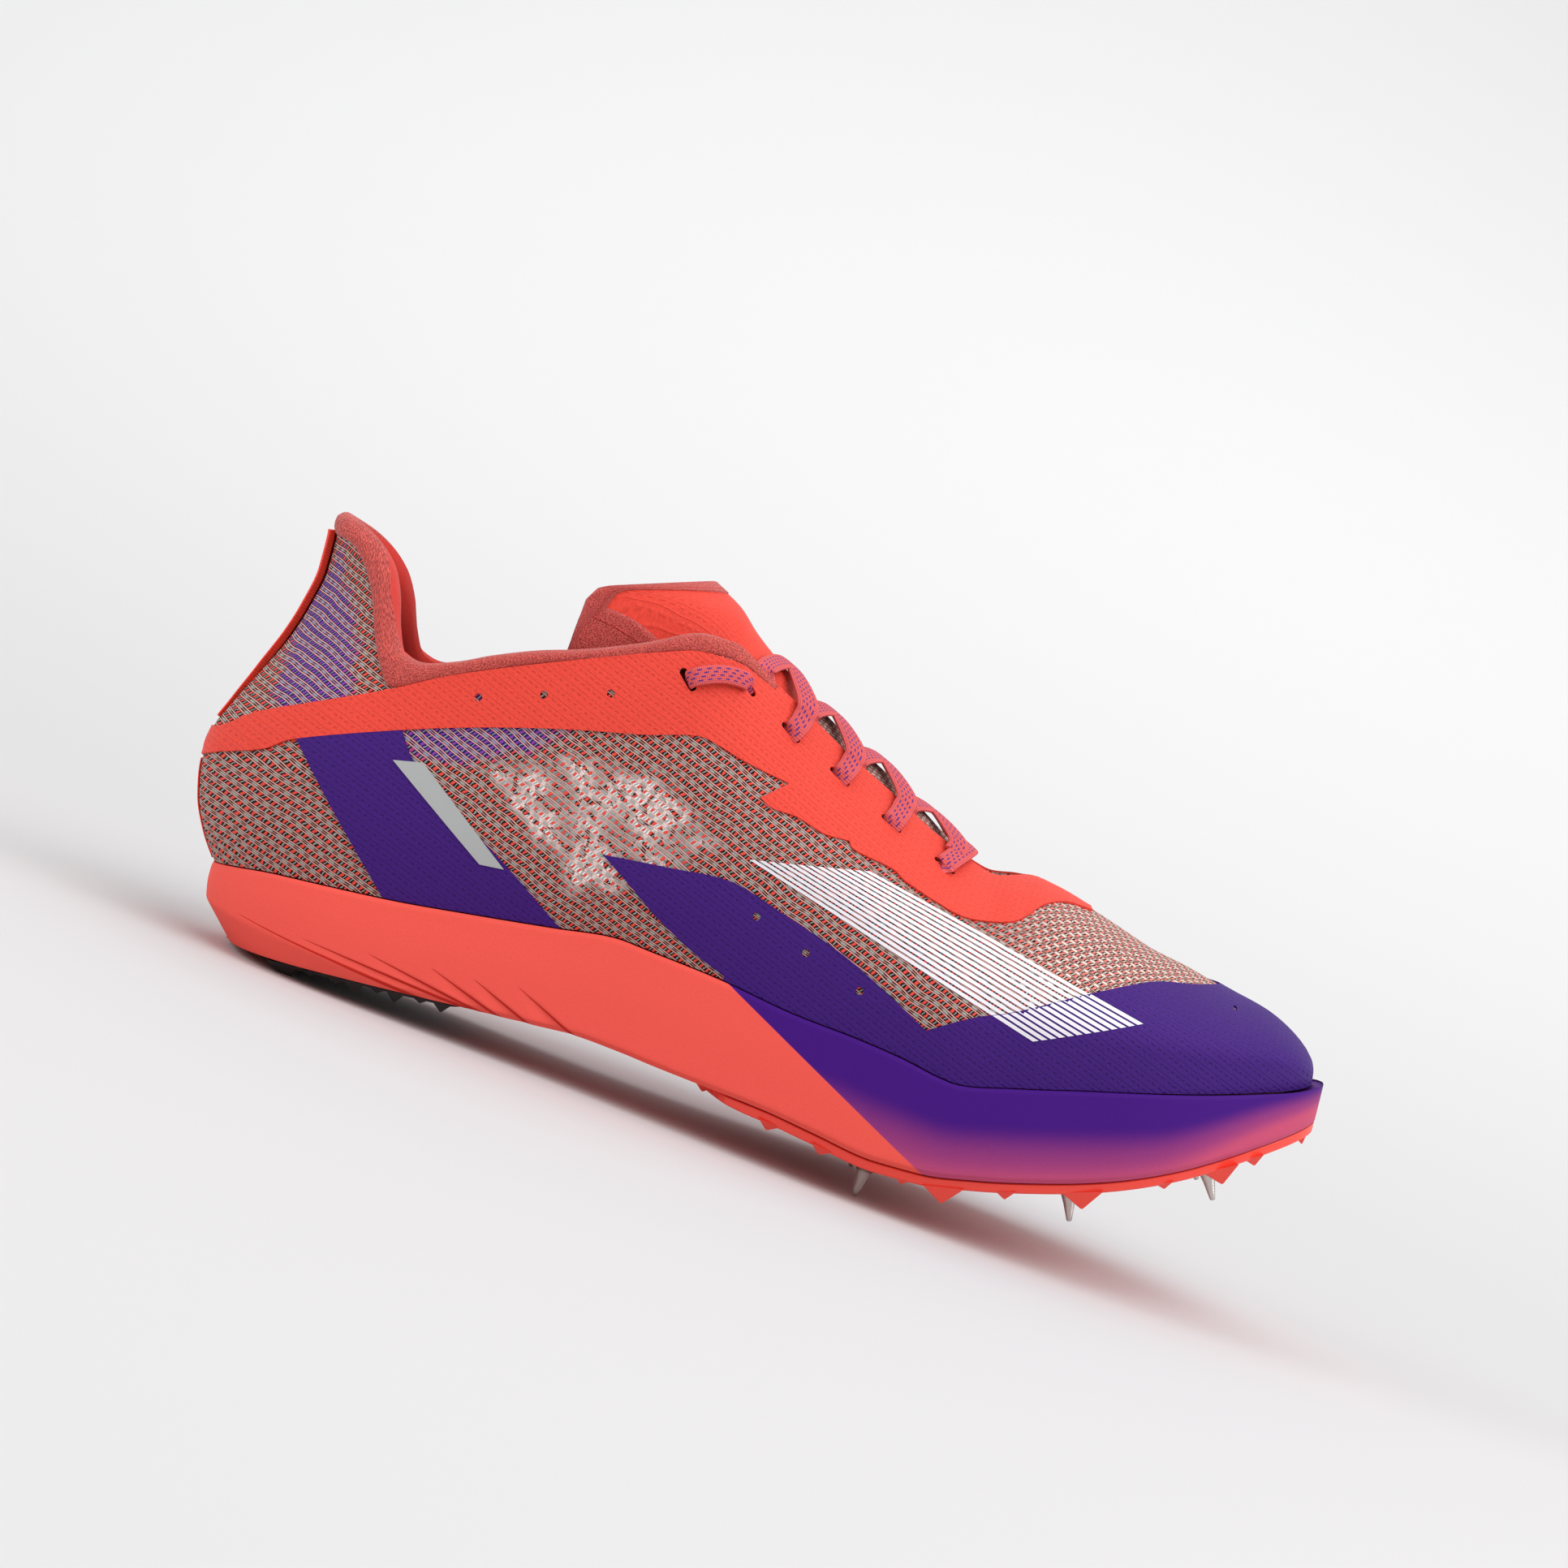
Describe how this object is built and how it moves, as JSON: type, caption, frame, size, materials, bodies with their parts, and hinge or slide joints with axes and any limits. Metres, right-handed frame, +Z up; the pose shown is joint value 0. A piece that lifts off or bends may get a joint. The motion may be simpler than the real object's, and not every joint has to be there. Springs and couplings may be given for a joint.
{
  "type": "cross country running shoe",
  "caption": "Low cross country running shoe with a mesh upper, bonded film overlays, a foam midsole, a lugged forefoot plate with steel pins and flat laces.",
  "frame": {"origin": "bottom centre of the bounding box, on the floor plane that the heel lugs and the rear pins touch", "axes": "+X towards the toe, -Y the outer (lateral) side, +Y the inner (medial) side, +Z up"},
  "size_m": [0.2954, 0.094, 0.1282],
  "materials": {
    "midsole_foam": "moulded foam, coral at the heel and purple at the toe",
    "upper_mesh": "open engineered mesh over a red lining",
    "insole_fabric": "brushed textile top",
    "tongue_fabric": "thin microfibre with a film panel",
    "film_orange": "bonded film, matt",
    "film_purple": "bonded film, matt",
    "webbing": "woven tape",
    "plate_plastic": "moulded, satin",
    "black_rubber": "matt",
    "pin_steel": "turned",
    "lace": "flat braid with purple flecks"
  },
  "bodies": {
    "root": {"midsole": "midsole_foam", "upper": "upper_mesh", "insole": "insole_fabric", "tongue": "tongue_fabric", "collar_band": "film_orange", "forefoot_panel": "film_purple", "heel_panel_lateral": "film_purple", "heel_panel_medial": "film_purple", "heel_strip": "webbing", "forefoot_plate": "plate_plastic", "heel_rubber": "black_rubber", "pin_rear_lateral": "pin_steel", "pin_rear_medial": "pin_steel", "pin_middle_lateral": "pin_steel", "pin_middle_medial": "pin_steel", "pin_front_lateral": "pin_steel", "pin_front_medial": "pin_steel", "lace_crossings": "lace", "lace_bar_lateral": "lace", "lace_bar_medial": "lace"}
  },
  "joints": []
}
